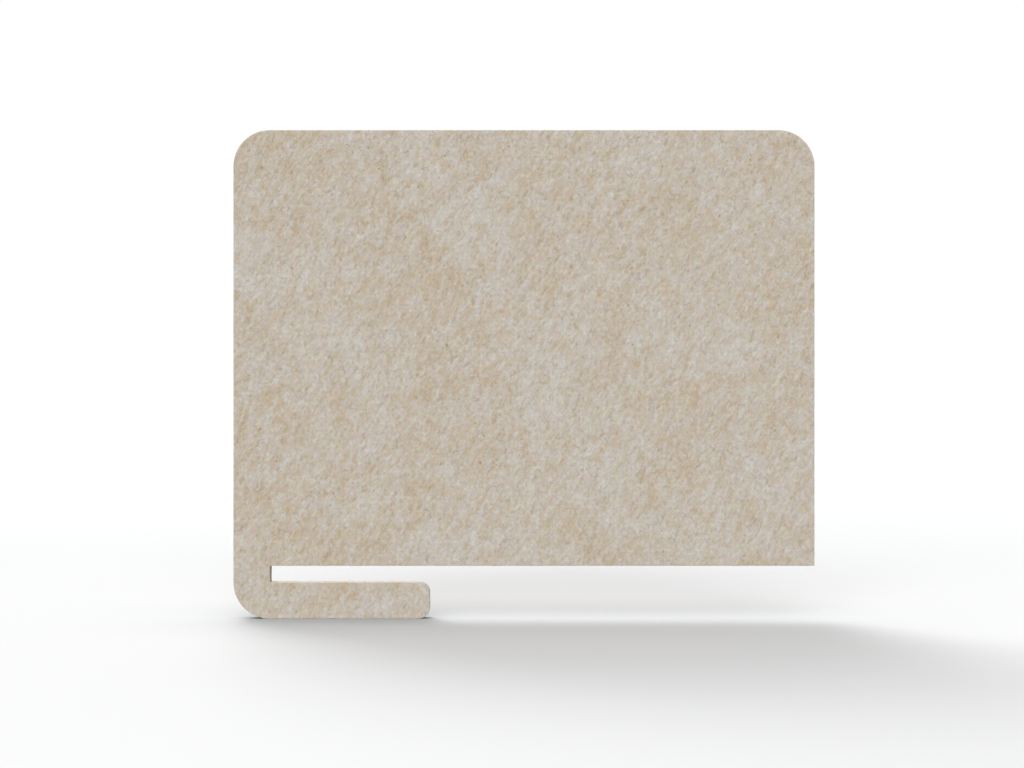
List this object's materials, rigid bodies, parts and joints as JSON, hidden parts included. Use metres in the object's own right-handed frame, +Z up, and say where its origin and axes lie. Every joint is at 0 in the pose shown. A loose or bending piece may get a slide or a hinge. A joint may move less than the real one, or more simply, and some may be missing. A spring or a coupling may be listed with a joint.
{
  "type": "acoustic desk divider screen",
  "caption": "Rounded felt panel with a slot near one lower corner that slides onto a desk top, leaving a tongue under the desk.",
  "frame": {"origin": "middle of the slot's closed end, on the plane of the desk top's upper surface and halfway through the thickness", "axes": "+X along the slot from its closed end to its mouth, +Z up, -Y out of the front face"},
  "size_m": [0.8, 0.024, 0.673],
  "materials": {
    "felt_front": "marbled beige pressed polyester felt, matt",
    "adhesive_web": "thin melted polyester web, dull",
    "felt_rear": "marbled beige pressed polyester felt, matt"
  },
  "bodies": {
    "root": {"front_felt_board": "felt_front", "bond_web": "adhesive_web", "rear_felt_board": "felt_rear"}
  },
  "joints": []
}
